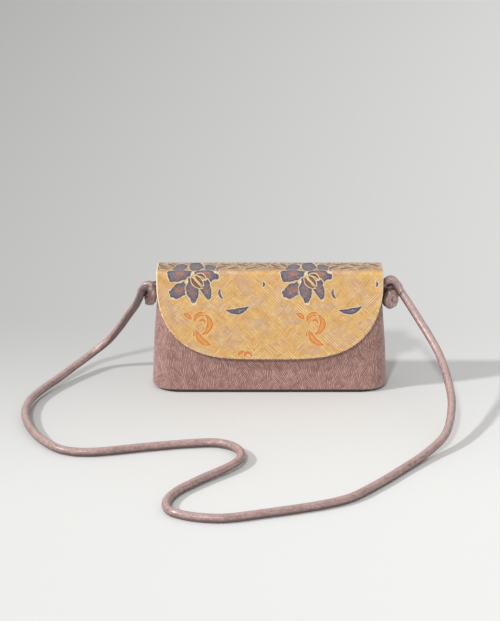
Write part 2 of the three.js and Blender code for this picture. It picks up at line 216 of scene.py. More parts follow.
def knot_points(knot, side):
    """A knot's points from its distances out from the seam, back, and up from the seam hole."""
    return [Vector((side * (SEAM_HOLE_X + out), back, SEAM_HOLE_HEIGHT + up)) for out, back, up in knot]


CORD_POINTS = [
    *knot_points(LEFT_KNOT, -1),
    *[Vector(point) for point in STRAP_ROUTE],
    *reversed(knot_points(RIGHT_KNOT, 1)),
]
STRAP_FROM = len(LEFT_KNOT) - 1
STRAP_TO = len(CORD_POINTS) - len(RIGHT_KNOT)
CURVE_STEPS = 40
STRAP_SPACING = 2.5
KNOT_SPACING = 0.8
STRAP_SIDES = 20
KNOT_SIDES = 28
LUMP_HEIGHT = 0.12
BUNCHED_OUT = 0.5
FOLD_HEIGHT = 1.2


def cord_point(stretch, share):
    """A point of the cord's smooth curve, at a share of the stretch between two of its points."""
    last = len(CORD_POINTS) - 1
    here = CORD_POINTS[stretch]
    after = CORD_POINTS[stretch + 1]
    before = CORD_POINTS[stretch - 1] if stretch > 0 else 2 * here - after
    beyond = CORD_POINTS[stretch + 2] if stretch + 2 <= last else 2 * after - here
    pace_in = math.sqrt((here - before).length)
    pace = math.sqrt((after - here).length)
    pace_out = math.sqrt((beyond - after).length)
    leaving = (here - before) / pace_in - (after - before) / (pace_in + pace) + (after - here) / pace
    arriving = (after - here) / pace - (beyond - here) / (pace + pace_out) + (beyond - after) / pace_out
    leaving = leaving * pace
    arriving = arriving * pace
    curve = 2 * (here - after) + leaving + arriving
    bend = 3 * (after - here) - 2 * leaving - arriving
    return here + leaving * share + bend * share**2 + curve * share**3


def cord_line(first, last, spacing):
    """The cord's line between two of its points, as points an even distance apart, in mm."""
    stretches = range(first, last)
    fine = [cord_point(stretch, step / CURVE_STEPS) for stretch in stretches for step in range(CURVE_STEPS)]
    fine.append(CORD_POINTS[last])
    run = run_along(steps_along(fine))
    count = max(2, round(run[-1] / spacing))
    line = []
    at = 0
    for step in range(count + 1):
        wanted = run[-1] * step / count
        while at < len(run) - 2 and run[at + 1] < wanted:
            at += 1
        share = (wanted - run[at]) / (run[at + 1] - run[at])
        line.append(fine[at].lerp(fine[at + 1], share))
    return line


def cord_cloth(name, line, sides, knot_from=None):
    """A strip of cloth wrapped round a line as the cord's cover, turned so that the satin's painted shade
    lies below, uneven with its filling.
    In a knot it is bunched, and carries that turn on from the strap, which is at the line's row knot_from."""
    headings = []
    for i in range(len(line)):
        headings.append((line[min(i + 1, len(line) - 1)] - line[max(i - 1, 0)]).normalized())
    crossways = [heading.cross(Vector((0, 0, 1))).normalized() for heading in headings]
    if knot_from is not None:
        across = crossways[knot_from]
        rows = range(len(line)) if knot_from == 0 else range(len(line) - 1, -1, -1)
        for row in rows:
            across = (across - headings[row] * across.dot(headings[row])).normalized()
            crossways[row] = across.copy()
    run = run_along(steps_along(line))

    def place(column, row):
        turn = 2 * math.pi * (column % sides) / sides
        out = crossways[row]
        over = headings[row].cross(out)
        point = line[row]
        lump = LUMP_HEIGHT * soft_noise(point.x, point.y, point.z + 7 * math.sin(turn), 9)
        near_end = min(run[row], run[-1] - run[row])
        bunched = 0 if knot_from is None else smooth_step(2, 9, near_end)
        fold = bunched * soft_noise(4 * math.cos(turn), 4 * math.sin(turn), run[row] * 0.4, 1.7)
        radius = CORD_RADIUS - LUMP_HEIGHT + lump + BUNCHED_OUT * bunched + FOLD_HEIGHT * fold
        return point + radius * (out * math.cos(turn) + over * math.sin(turn))

    def flat(column, row):
        return run[row], 2 * math.pi * CORD_RADIUS * column / sides

    cloth = bmesh.new()
    piece = lay_cloth(name, sides, len(line) - 1, place, flat)
    cloth.from_mesh(piece.data)
    bmesh.ops.holes_fill(cloth, edges=cloth.edges, sides=0)
    bmesh.ops.recalc_face_normals(cloth, faces=cloth.faces)
    cloth.to_mesh(piece.data)
    cloth.free()
    return piece


strap_line = cord_line(STRAP_FROM, STRAP_TO, STRAP_SPACING)
strap_length = sum(steps_along(strap_line))
left_line = cord_line(0, STRAP_FROM, KNOT_SPACING)
right_line = cord_line(STRAP_TO, len(CORD_POINTS) - 1, KNOT_SPACING)
strap = cord_cloth("strap_cord_cover", strap_line, STRAP_SIDES)
knot_left = cord_cloth("strap_knot_left_cover", left_line, KNOT_SIDES, knot_from=-1)
knot_right = cord_cloth("strap_knot_right_cover", right_line, KNOT_SIDES, knot_from=0)


# Threads and finishes: short calls that add a node and give back what comes out of it.
def dye(red, green, blue):
    """A colour as it is seen, from 0 to 255, as the linear colour that a node holds."""
    def linear(value):
        share = value / 255
        return share / 12.92 if share <= 0.04045 else ((share + 0.055) / 1.055) ** 2.4
    return (linear(red), linear(green), linear(blue), 1)


MM_IN_METRE = (1000, 1000, 1000)


class Loom:
    """A tree of nodes being made, for a finish or for a group that finishes share."""

    def __init__(self, tree):
        self.tree = tree

    def node(self, kind, inputs=(), **settings):
        made = self.tree.nodes.new("ShaderNode" + kind)
        for setting, value in settings.items():
            setattr(made, setting, value)
        for name, value in dict(inputs).items():
            self.feed(made.inputs[name], value)
        return made

    def feed(self, socket, value):
        if isinstance(value, bpy.types.NodeSocket):
            self.tree.links.new(value, socket)
        else:
            socket.default_value = value

    def math(self, operation, *values):
        return self.node("Math", enumerate(values), operation=operation).outputs[0]

    def times(self, first, second):
        return self.math("MULTIPLY", first, second)

    def vector(self, operation, *values):
        made = self.node("VectorMath", enumerate(values), operation=operation)
        return made.outputs["Value" if operation == "LENGTH" else "Vector"]

    def step(self, value, low, high):
        """0 below low, 1 above high, smooth between."""
        given = {"Value": value, "From Min": low, "From Max": high}
        return self.node("MapRange", given, interpolation_type="SMOOTHSTEP").outputs[0]

    def ramp(self, value, low, high):
        """0 below low, 1 above high, straight between."""
        return self.node("MapRange", {"Value": value, "From Min": low, "From Max": high}).outputs[0]

    def scaled(self, value, low, high):
        """A value from 0 to 1 brought to low to high."""
        return self.node("MapRange", {"Value": value, "To Min": low, "To Max": high}).outputs[0]

    def blend(self, share, first, second):
        made = self.node("Mix", data_type="RGBA")
        self.feed(made.inputs["Factor"], share)
        first_colour, second_colour = [socket for socket in made.inputs if socket.type == "RGBA"]
        self.feed(first_colour, first)
        self.feed(second_colour, second)
        return next(socket for socket in made.outputs if socket.type == "RGBA")

    def choose(self, share, first, second):
        """A number between two others."""
        return self.node("Mix", {"Factor": share, "A": first, "B": second}, data_type="FLOAT").outputs[0]

    def over(self, colour, share, strength, laid):
        """A colour with another laid over a share of it, at a strength."""
        return self.blend(self.times(share, strength), colour, laid)

    def cloudy(self, at, size, detail=2):
        """Smooth noise from 0 to 1 with patches of a size in the units of at."""
        return self.node("TexNoise", {"Vector": at, "Scale": 1 / size, "Detail": detail}).outputs["Fac"]

    def drift(self, at, size, reach, detail=1):
        """Smooth noise from minus its reach to its reach."""
        return self.scaled(self.cloudy(at, size, detail=detail), -reach, reach)

    def cells(self, at, size, **settings):
        """Cells of a size on the flat cloth, as three chances from 0 to 1 that each cell has of its own."""
        given = {"Vector": at, "Scale": 1 / size}
        made = self.node("TexVoronoi", given, voronoi_dimensions="2D", **settings)
        return self.node("SeparateColor", {0: made.outputs["Color"]}).outputs

    def waves(self, across, pitch, shift):
        """Waves from -1 to 1, of a pitch, shifted by an angle."""
        return self.math("SINE", self.math("ADD", self.times(across, 2 * math.pi / pitch), shift))

    def part(self, at, axis):
        return self.node("SeparateXYZ", {0: at}).outputs[axis]

    def shifted(self, at, along):
        """A place moved along its first axis."""
        return self.vector("ADD", at, self.node("CombineXYZ", {0: along}).outputs[0])

    def stretch(self, at, factors):
        return self.vector("MULTIPLY", at, factors)

    def turned(self, at, angle):
        return self.node("VectorRotate", {"Vector": at, "Angle": angle}, rotation_type="Z_AXIS").outputs[0]


class Finish(Loom):
    """A material being made."""

    def __init__(self, name, roughness, sheen=0.0, sheen_roughness=0.5, metallic=0.0, specular=0.5):
        self.material = bpy.data.materials.new(name)
        self.material.use_nodes = True
        super().__init__(self.material.node_tree)
        self.surface = self.tree.nodes["Principled BSDF"]
        for label, value in (
            ("Roughness", roughness),
            ("Metallic", metallic),
            ("Sheen Weight", sheen),
            ("Sheen Roughness", sheen_roughness),
            ("Specular IOR Level", specular),
        ):
            self.feed(self.surface.inputs[label], value)

    def cloth_mm(self):
        """The place on the uncut cloth, in mm."""
        return self.stretch(self.node("UVMap", uv_map="cloth").outputs[0], MM_IN_METRE)

    def object_mm(self):
        return self.stretch(self.node("TexCoord").outputs["Object"], MM_IN_METRE)

    def colour(self, value):
        self.feed(self.surface.inputs["Base Color"], value)

    def rough(self, value):
        self.feed(self.surface.inputs["Roughness"], value)

    def relief(self, height, depth):
        """A bump from a height of 0 to 1, as deep as depth in mm."""
        bump = self.node("Bump", {"Height": height, "Distance": depth * MM, "Strength": 1.0})
        self.feed(self.surface.inputs["Normal"], bump.outputs[0])


MAUVE = {
    "dull": dye(152, 111, 103), "bright": dye(180, 140, 131), "warm": dye(160, 111, 102),
    "shade": dye(92, 60, 54), "light": dye(226, 194, 184),
}
# Near-black dyes for the base panel: painted shade under the bag's lower edge.
PAINTED_SHADE_DYES = {
    "dull": dye(30, 18, 15), "bright": dye(38, 24, 20), "warm": dye(34, 20, 17),
    "shade": dye(22, 14, 12), "light": dye(50, 35, 31),
}
NEEDLE_PITCH = 1.6
BUNCH_SIZE = 8


def jacquard_finish(name, dyes):
    """Cloth whose lighter threads lie in bunches like pine needles, each bunch leaning its own way."""
    cloth = Finish(name, 0.6, sheen=0.55, sheen_roughness=0.35)
    at = cloth.cloth_mm()
    swayed = cloth.shifted(at, cloth.drift(at, 9, 2.5))
    chances = cloth.cells(cloth.stretch(swayed, (1, 0.6, 1)), BUNCH_SIZE)
    leaning = cloth.turned(at, cloth.scaled(chances[0], -0.8, 0.8))
    needles = cloth.waves(cloth.part(leaning, 0), NEEDLE_PITCH, cloth.drift(at, 5, 1.2))
    along = cloth.cloudy(cloth.stretch(leaning, (1, 0.2, 1)), 1.2, detail=3)
    light = cloth.times(cloth.step(needles, -0.1, 0.9), cloth.step(along, 0.44, 0.62))
    dark = cloth.times(cloth.step(needles, 0.1, -0.9), cloth.step(along, 0.34, 0.56))
    patches = cloth.cloudy(cloth.stretch(leaning, (1, 0.4, 1)), 6, detail=3)
    ground = cloth.blend(cloth.step(patches, 0.36, 0.64), dyes["dull"], dyes["bright"])
    warm = cloth.blend(cloth.scaled(cloth.cloudy(at, 3.1), 0, 0.5), ground, dyes["warm"])
    shade = cloth.over(warm, dark, 0.75, dyes["shade"])
    cloth.colour(cloth.over(shade, light, 0.78, dyes["light"]))
    cloth.rough(cloth.scaled(light, 0.66, 0.5))
    cloth.relief(cloth.math("ADD", cloth.times(light, 0.8), cloth.cloudy(at, 0.7, detail=1)), 0.2)
    return cloth.material


def satin_finish():
    """Satin-faced cloth of the strap: fine slanting floats, with a painted highlight along its top and
    painted shade along its underside.
    """
    cloth = Finish("mauve_satin", 0.36, specular=1.0)
    at = cloth.cloth_mm()
    flecks = cloth.cloudy(cloth.stretch(cloth.turned(at, 0.9), (1, 0.3, 1)), 1.1)
    floats = cloth.step(flecks, 0.42, 0.66)
    round_it = cloth.math("SINE", cloth.times(cloth.part(at, 1), 1 / CORD_RADIUS))
    side = cloth.math("ADD", round_it, cloth.drift(at, 6, 0.3))
    ground = cloth.blend(cloth.step(cloth.cloudy(at, 18), 0.3, 0.7), dye(134, 101, 97), dye(160, 126, 121))
    woven = cloth.over(ground, floats, 0.5, dye(216, 186, 180))
    # Painted highlight along the cord's top, then near-black painted shade along its underside.
    painted_top_highlight = cloth.over(woven, cloth.step(side, -0.6, -1.0), 0.3, dye(232, 206, 200))
    cloth.colour(cloth.over(painted_top_highlight, cloth.step(side, -0.3, 0.4), 0.88, dye(82, 56, 54)))
    cloth.rough(cloth.scaled(floats, 0.4, 0.26))
    cloth.relief(flecks, 0.18)
    return cloth.material


def lining_finish():
    """Plain woven lining with a fine warp and weft."""
    cloth = Finish("lining_cloth", 0.7, sheen=0.15)
    at = cloth.cloth_mm()
    warp = cloth.cloudy(cloth.stretch(at, (1, 0.08, 1)), 0.8, detail=1)
    weft = cloth.cloudy(cloth.stretch(at, (0.08, 1, 1)), 0.8, detail=1)
    threads = cloth.times(cloth.math("ADD", warp, weft), 0.5)
    soft = cloth.blend(cloth.cloudy(at, 30), dye(184, 166, 155), dye(200, 184, 173))
    cloth.colour(cloth.blend(cloth.step(threads, 0.4, 0.62), soft, dye(214, 200, 190)))
    cloth.relief(threads, 0.15)
    return cloth.material


def felt_finish():
    cloth = Finish("stiff_cloth", 0.9)
    at = cloth.cloth_mm()
    fibres = cloth.cloudy(at, 1.4, detail=4)
    cloth.colour(cloth.blend(fibres, dye(214, 208, 196), dye(240, 236, 226)))
    cloth.relief(fibres, 0.2)
    return cloth.material


def board_finish():
    board = Finish("grey_board", 0.85)
    at = board.object_mm()
    fibres = board.cloudy(board.stretch(at, (0.3, 1, 1)), 1.8, detail=4)
    board.colour(board.blend(fibres, dye(138, 130, 120), dye(170, 162, 152)))
    board.relief(fibres, 0.15)
    return board.material


def steel_finish():
    """Satin nickel with the round brushing that a pressed snap keeps."""
    steel = Finish("satin_steel", 0.34, metallic=1.0)
    at = steel.object_mm()
    centred = steel.node("Mapping", {"Vector": at, "Location": (0, 0, -SNAP_HEIGHT)}).outputs[0]
    ring = steel.vector("LENGTH", steel.stretch(centred, (1, 0, 1)))
    brushed = steel.cloudy(steel.node("CombineXYZ", {0: ring}).outputs[0], 0.25)
    steel.colour(steel.blend(brushed, dye(196, 192, 184), dye(226, 223, 217)))
    steel.rough(steel.scaled(brushed, 0.26, 0.42))
    steel.relief(brushed, 0.03)
    return steel.material


def thread_finish(name, first, second):
    thread = Finish(name, 0.55, sheen=0.2)
    at = thread.object_mm()
    plies = thread.cloudy(at, 0.5)
    thread.colour(thread.blend(plies, first, second))
    thread.relief(plies, 0.08)
    return thread.material


# The brocade's figures are woven over a fret ground, in mm on the uncut cloth, and repeat across it.
REPEAT = 109.7
OUTLINE = 0.9
OUTSIDE = -9.0
FLOAT_PITCH = 1.95
FLOAT_SLANT = math.radians(47)
FLOAT_BLOCK = 10


def group_of(name, inputs, outputs):
    tree = bpy.data.node_groups.new(name, "ShaderNodeTree")
    for label, kind in inputs:
        tree.interface.new_socket(label, in_out="INPUT", socket_type="NodeSocket" + kind)
    for label, kind in outputs:
        tree.interface.new_socket(label, in_out="OUTPUT", socket_type="NodeSocket" + kind)
    loom = Loom(tree)
    given = tree.nodes.new("NodeGroupInput").outputs
    result = tree.nodes.new("NodeGroupOutput").inputs
    return loom, given, result


def lay_over(loom, given, result, inside):
    """Puts a figure over those before it: where it or its outline lies, its own inside and weft count. The
    inside is how far a point lies within the figure's edge, in mm."""
    covers = loom.math("GREATER_THAN", inside, -OUTLINE)
    loom.feed(result["Inside"], loom.choose(covers, given["Before"], inside))
    loom.feed(result["Weft"], loom.choose(covers, given["Weft before"], given["Own weft"]))


CARRIED = [
    ("At", "Vector"), ("Wave", "Float"), ("Before", "Float"), ("Weft before", "Float"),
    ("Own weft", "Float"),
]
LAID = [("Inside", "Float"), ("Weft", "Float")]
PETAL_SHAPE = [
    ("Middle", "Vector"), ("Half length", "Float"), ("Half width", "Float"), ("Turn", "Float"),
    ("Taper", "Float"),
]
FROND_SHAPE = [
    ("Middle", "Vector"), ("Radius", "Float"), ("Facing", "Float"), ("Half sweep", "Float"),
    ("Half width", "Float"),
]


def own_place(loom, given, lean):
    """The point as seen from the figure's middle, with the figure's lean taken out."""
    back = loom.times(given[lean], -1)
    return loom.turned(loom.vector("SUBTRACT", given["At"], given["Middle"]), back)


def petal_group():
    """A petal: a wavy egg shape, narrower towards one end by its taper."""
    loom, given, result = group_of("woven_petal", CARRIED + PETAL_SHAPE, LAID)
    parts = loom.node("SeparateXYZ", {0: own_place(loom, given, "Turn")})
    long = loom.math("DIVIDE", parts.outputs[0], given["Half length"])
    narrowed = loom.math("SUBTRACT", 1.0, loom.times(given["Taper"], long))
    width = loom.times(given["Half width"], loom.math("MAXIMUM", narrowed, 0.15))
    wide = loom.math("DIVIDE", parts.outputs[1], width)
    squares = loom.math("ADD", loom.times(long, long), loom.times(wide, wide))
    within = loom.times(loom.math("SUBTRACT", 1.0, loom.math("SQRT", squares)), given["Half width"])
    lay_over(loom, given, result, loom.math("SUBTRACT", within, given["Wave"]))
    return loom.tree


def frond_group():
    """A frond: part of a ring that tapers to a point at each end."""
    loom, given, result = group_of("woven_frond", CARRIED + FROND_SHAPE, LAID)
    local = own_place(loom, given, "Facing")
    parts = loom.node("SeparateXYZ", {0: local})
    angle = loom.math("ARCTAN2", parts.outputs[1], parts.outputs[0])
    share = loom.math("DIVIDE", angle, given["Half sweep"])
    width = loom.times(given["Half width"], loom.math("SUBTRACT", 1.0, loom.times(share, share)))
    off_ring = loom.math("ABSOLUTE", loom.math("SUBTRACT", loom.vector("LENGTH", local), given["Radius"]))
    within = loom.math("SUBTRACT", width, off_ring)
    lay_over(loom, given, result, loom.math("SUBTRACT", within, given["Wave"]))
    return loom.tree


# The coloured wefts: outline, rim, body and heart of what each weaves.
GREY = 0
RUST = 1
BROWN = 2
PALE = 3
ORANGE = 4
WEFTS = {
    GREY: (dye(240, 222, 184), dye(82, 80, 100), dye(104, 99, 116), dye(128, 108, 112)),
    RUST: (dye(240, 222, 184), dye(84, 81, 101), dye(108, 98, 110), dye(156, 108, 92)),
    BROWN: (dye(244, 226, 188), dye(112, 74, 56), dye(146, 98, 70), dye(164, 114, 84)),
    PALE: (dye(240, 222, 184), dye(76, 72, 90), dye(92, 88, 106), dye(176, 168, 172)),
    ORANGE: (dye(238, 192, 124), dye(202, 122, 54), dye(222, 146, 70), dye(236, 176, 100)),
}

# Each petal: middle, half length, half width, lean in degrees from the cloth's width, taper and weft.
# Veils are the petals of the ground's own tonal flowers, and lie under its floats.
VEILS = [
    ((-93, 66), 8, 5, 35, 0),
    ((-86, 74), 9, 4.5, -20, 0),
    ((-101, 50), 5, 8, 0, 0),
    ((-46, 88), 8, 4.5, -55, 0.1),
    ((-36, 92), 8, 4.5, 40, 0.1),
    ((-43, 99), 7, 4, 5, 0.1),
    ((-56, 62), 9, 3.4, 10, 0),
    ((-24, 44), 10, 4.5, 50, 0),
    ((-13, 58), 8, 4, -30, 0),
    ((-6, 82), 8, 4.5, 60, 0),
    ((-17, 80), 8, 4, -35, 0),
    ((-72, 105), 9, 4, 10, 0),
    ((-38, 27), 12, 5, 5, 0),
]
PETALS = [
    ((-87, 17.5), 12, 6.6, 106, 0.1, GREY),
    ((-57, 18.5), 11, 6.6, 68, 0.1, GREY),
    ((-71.5, 15), 13, 7, 90, 0.15, GREY),
    ((-61.6, 31), 11, 6.8, 8, -0.2, RUST),
    ((-87.4, 30.6), 12, 6.4, -6, 0.22, RUST),
    ((-87.6, 45.8), 10.6, 6.6, -34, 0.12, RUST),
    ((-61.3, 46), 9.6, 5.2, 76, 0.35, RUST),
    ((-75, 47.4), 12.6, 5.4, 84, 0.25, RUST),
]

# Each frond: three points that it passes through, its half width and weft.
FRONDS = [
    ((-76, 33), (-72.6, 39.4), (-66.4, 43.8), 1.9, BROWN),
    ((-73.4, 31.6), (-68.4, 35.6), (-64.6, 41.6), 1.6, BROWN),
    ((-71.6, 31.4), (-66.8, 31), (-62.4, 35.4), 1.2, BROWN),
    ((-42.6, 65.4), (-31, 67), (-20.4, 62), 2.9, PALE),
    ((-48, 44.6), (-48.6, 50), (-45, 54.6), 1.3, GREY),
    ((-7, 37.4), (-5.6, 40), (-7, 43), 1.1, GREY),
    ((-84.6, 69.2), (-80, 71), (-76, 75.6), 2.3, ORANGE),
    ((-73, 78), (-69, 70.2), (-60.4, 72.8), 2.3, ORANGE),
    ((-63.6, 70), (-58.2, 79.4), (-67, 90), 2.9, ORANGE),
    ((-68.6, 78), (-65.4, 75.4), (-63.6, 80), 1.2, ORANGE),
    ((-74.4, 92), (-72.6, 88), (-71.8, 84.4), 1.5, ORANGE),
    ((-71, 84.8), (-66.8, 95.4), (-56.4, 100.4), 3.2, ORANGE),
    ((-29.6, 113), (-26.6, 107.4), (-23.6, 113.4), 1.5, ORANGE),
    ((-24, 113), (-21.6, 108), (-19, 113.6), 1.4, ORANGE),
    ((-108, 6), (-104, 12), (-98, 15), 2.3, BROWN),
    ((-107, 14), (-102, 19), (-96, 21), 2.3, BROWN),
    ((-100, 4), (-96, 9), (-93, 15), 2.3, BROWN),
    ((-52, 24), (-48, 16), (-40, 10), 2.3, BROWN),
    ((-49, 5), (-42, 8), (-36, 9), 2.3, BROWN),
    ((-42, 22), (-36, 18), (-28, 17), 2.3, BROWN),
    ((-32, 4), (-27, 9), (-20, 10), 2.3, BROWN),
    ((-24, 24), (-18, 18), (-10, 19), 2.3, BROWN),
    ((-14, 5), (-8, 8), (-3, 14), 2.3, BROWN),
]


def ring_through(start, through, end):
    """The ring through three points: its middle, its radius, and where its part between faces and sweeps."""
    (ax, ay), (bx, by), (cx, cy) = start, through, end
    twice_area = 2 * (ax * (by - cy) + bx * (cy - ay) + cx * (ay - by))
    a, b, c = ax**2 + ay**2, bx**2 + by**2, cx**2 + cy**2
    middle_x = (a * (by - cy) + b * (cy - ay) + c * (ay - by)) / twice_area
    middle_y = (a * (cx - bx) + b * (ax - cx) + c * (bx - ax)) / twice_area
    facing = math.atan2(by - middle_y, bx - middle_x)
    turns = []
    for x, y in (start, end):
        turns.append(math.remainder(math.atan2(y - middle_y, x - middle_x) - facing, 2 * math.pi))
    facing += sum(turns) / 2
    half_sweep = abs(turns[0] - turns[1]) / 2
    return (middle_x, middle_y, 0), math.hypot(ax - middle_x, ay - middle_y), facing, half_sweep


def lay_figures(cloth, at, wave, petals, fronds):
    """Lays petals and then fronds one over another, for how far inside a point is and which weft's."""
    inside = OUTSIDE
    weft = 0.0
    figures = []
    group = petal_group()
    for middle, half_length, half_width, lean, taper, own in petals:
        shape = {"Middle": (*middle, 0), "Half length": half_length, "Half width": half_width}
        shape.update({"Turn": math.radians(lean), "Taper": taper, "Own weft": own, "Wave": wave})
        figures.append((group, shape))
    slight = cloth.times(wave, 0.3)
    group = frond_group()
    for start, through, end, half_width, own in fronds:
        middle, radius, facing, half_sweep = ring_through(start, through, end)
        shape = {"Middle": middle, "Radius": radius, "Facing": facing, "Half sweep": half_sweep}
        shape.update({"Half width": half_width, "Own weft": own, "Wave": slight})
        figures.append((group, shape))
    for group, given in figures:
        figure = cloth.node("Group", node_tree=group)
        for label, value in {"At": at, "Before": inside, "Weft before": weft, **given}.items():
            cloth.feed(figure.inputs[label], value)
        inside, weft = figure.outputs["Inside"], figure.outputs["Weft"]
    return inside, weft


def weft_colour(cloth, weft, part):
    """The colour of one part of what a weft weaves."""
    picked = cloth.node("ValToRGB", {0: cloth.math("DIVIDE", cloth.math("ADD", weft, 0.5), len(WEFTS))})
    ramp = picked.color_ramp
    ramp.interpolation = "CONSTANT"
    for own, colours in WEFTS.items():
        stop = ramp.elements[own] if own < 2 else ramp.elements.new(1)
        stop.position = own / len(WEFTS)
        stop.color = colours[part]
    return picked.outputs[0]


def float_lines(cloth, at):
    """The ground's floats: slanting lines in blocks that lean one way or the other, and their strength."""
    slanted = cloth.turned(at, FLOAT_SLANT)
    slant = cloth.node("SeparateXYZ", {0: slanted})
    swayed = cloth.shifted(slanted, cloth.drift(at, 5, 6))
    chances = cloth.cells(swayed, FLOAT_BLOCK, distance="CHEBYCHEV")
    turn = cloth.step(chances[0], 0.42, 0.48)
    shift = cloth.drift(at, 14, 2.5)
    waves = []
    streaks = []
    for side, along in ((0, (1, 0.06, 1)), (1, (0.06, 1, 1))):
        waves.append(cloth.waves(slant.outputs[side], FLOAT_PITCH, shift))
        streaks.append(cloth.cloudy(cloth.stretch(slanted, along), 1.2))
    lines = cloth.choose(turn, waves[1], waves[0])
    streak = cloth.step(cloth.choose(turn, streaks[1], streaks[0]), 0.4, 0.58)
    return lines, cloth.times(streak, cloth.scaled(chances[1], 0.3, 1.0))


def ground_colour(cloth, at, flat, lobes, down):
    """The gold ground with its tonal flowers and scrolls, browner where it lies over the mouth and fold:
    brown figures there, partly painted shade of the fold.
    """
    patches = cloth.cloudy(at, 9, detail=3)
    colour = cloth.blend(cloth.step(patches, 0.3, 0.7), dye(206, 153, 82), dye(220, 177, 105))
    veils = [(*veil, GREY) for veil in VEILS]
    veil, _ = lay_figures(cloth, flat, cloth.scaled(lobes, -4.0, 4.0), veils, [])
    veil_rim = cloth.times(cloth.step(veil, -0.9, 0.0), cloth.step(veil, 2.6, 1.2))
    colour = cloth.over(colour, cloth.step(veil, -0.6, 0.8), 0.26, dye(216, 182, 146))
    colour = cloth.over(colour, veil_rim, 0.55, dye(186, 150, 134))
    scrolls = cloth.math("ABSOLUTE", cloth.math("SUBTRACT", cloth.cloudy(at, 10), 0.5))
    colour = cloth.over(colour, cloth.step(scrolls, 0.035, 0.01), 0.42, dye(190, 154, 134))
    # Over the mouth and fold the ground turns browner: partly brown figures, partly painted shade of the
    # fold.
    brown = cloth.cloudy(cloth.stretch(cloth.turned(at, -0.8), (1, 0.3, 1)), 2.6)
    brown_figures_and_fold_shade = cloth.blend(cloth.step(brown, 0.4, 0.6), dye(128, 88, 60), dye(192, 166, 146))
    return cloth.over(colour, cloth.step(down, 29.0, 20.0), 0.85, brown_figures_and_fold_shade)


def figures_over(cloth, colour, flat, lobes):
    """The woven figures laid over the ground: each with its outline, rim, body and mottled heart."""
    inside, weft = lay_figures(cloth, flat, cloth.scaled(lobes, -2.4, 2.4), PETALS, FRONDS)
    outlined = cloth.step(inside, -0.95, -0.35)
    filled = cloth.step(inside, -0.25, 0.15)
    mottle = cloth.drift(flat, 2.4, 4.0, detail=2)
    rim = weft_colour(cloth, weft, 1)
    body = cloth.blend(cloth.step(inside, 0.8, 2.0), rim, weft_colour(cloth, weft, 2))
    hearts = cloth.step(cloth.math("ADD", inside, mottle), 2.6, 4.4)
    body = cloth.over(body, hearts, 0.85, weft_colour(cloth, weft, 3))
    colour = cloth.over(colour, outlined, 0.75, weft_colour(cloth, weft, 0))
    return cloth.blend(filled, colour, body)


def brocade_finish():
    """Gold brocade: slanting cream and ochre floats, with peonies, leaves and sprigs woven over them."""
    cloth = Finish("gold_brocade", 0.5, sheen=0.08, sheen_roughness=0.4)
    at = cloth.cloth_mm()
    parts = cloth.node("SeparateXYZ", {0: at})
    down = parts.outputs[1]
    folded = cloth.math("WRAP", parts.outputs[0], -1.0, -1.0 - REPEAT)
    flat = cloth.node("CombineXYZ", {0: folded, 1: down}).outputs[0]
    lobes = cloth.cloudy(flat, 6.5, detail=1)
    colour = ground_colour(cloth, at, flat, lobes, down)
    lines, strength = float_lines(cloth, at)
    ochre = cloth.times(cloth.step(lines, 0.0, -0.8), cloth.times(strength, 0.5))
    cream = cloth.times(cloth.step(lines, 0.1, 0.9), cloth.times(strength, 0.8))
    colour = cloth.blend(cream, cloth.blend(ochre, colour, dye(188, 128, 68)), dye(248, 224, 172))
    colour = figures_over(cloth, colour, flat, lobes)
    threads = cloth.cloudy(cloth.stretch(at, (1, 0.3, 1)), 0.8)
    colour = cloth.over(colour, cloth.step(threads, 0.48, 0.74), 0.24, dye(248, 226, 188))
    colour = cloth.over(colour, cloth.step(threads, 0.46, 0.26), 0.22, dye(150, 104, 70))

    # The turned edge is painted pale: a painted highlight of the rolled edge all along the upper sides, and
    # pale thread ends in teeth along the round.
    from_edge = cloth.node("Attribute", attribute_name="from_edge").outputs["Fac"]
    teeth = cloth.cloudy(cloth.stretch(at, (1, 0.6, 1)), 2.2, detail=1)
    ragged = cloth.math("MAXIMUM", cloth.step(teeth, 0.44, 0.6), cloth.step(down, 70.0, 48.0))
    edge_highlight_and_threads = cloth.times(cloth.step(from_edge, 1.6, 0.7), ragged)
    cloth.colour(cloth.over(colour, edge_highlight_and_threads, 0.85, dye(246, 228, 196)))
    cloth.relief(cloth.math("ADD", cloth.scaled(lines, 0.0, 0.3), cloth.times(threads, 0.6)), 0.22)
    return cloth.material


jacquard = jacquard_finish("mauve_jacquard", MAUVE)
# The base panel's near-black cloth is painted shade.
base_painted_shade = jacquard_finish("base_painted_shade", PAINTED_SHADE_DYES)
satin = satin_finish()
lining_cloth = lining_finish()
felt = felt_finish()
board = board_finish()
steel = steel_finish()
brocade = brocade_finish()
mauve_thread = thread_finish("mauve_thread", dye(140, 104, 102), dye(178, 140, 136))
gold_thread = thread_finish("gold_thread", dye(206, 160, 92), dye(240, 208, 150))

finish_piece(strap, "pouch", "mauve_satin", satin, "strap_cord")
finish_piece(knot_left, "pouch", "mauve_satin", satin, "strap_knot_left")
finish_piece(knot_right, "pouch", "mauve_satin", satin, "strap_knot_right")


# Pouch: a loft of rounded rectangles that narrow upwards, drawn in at the bottom.
def pouch_size(z):
    rise = min(1, max(0, z / POUCH_HEIGHT))
    down = max(0, 1 - z / BOTTOM_ROUND_HEIGHT)
    drawn_in = 1 - math.sqrt(1 - down * down)
    half_width = lerp(BASE_HALF_WIDTH, MOUTH_HALF_WIDTH, rise**1.6)
    half_depth = lerp(BASE_HALF_DEPTH, MOUTH_HALF_DEPTH, rise) + PANEL_BULGE * math.sin(math.pi * rise)
    return half_width - BOTTOM_ROUND_WIDTH * drawn_in, half_depth - BOTTOM_ROUND_DEPTH * drawn_in


def crown_at(z):
    return math.sin(math.pi * min(1, max(0.08, z / POUCH_HEIGHT))) ** 0.8


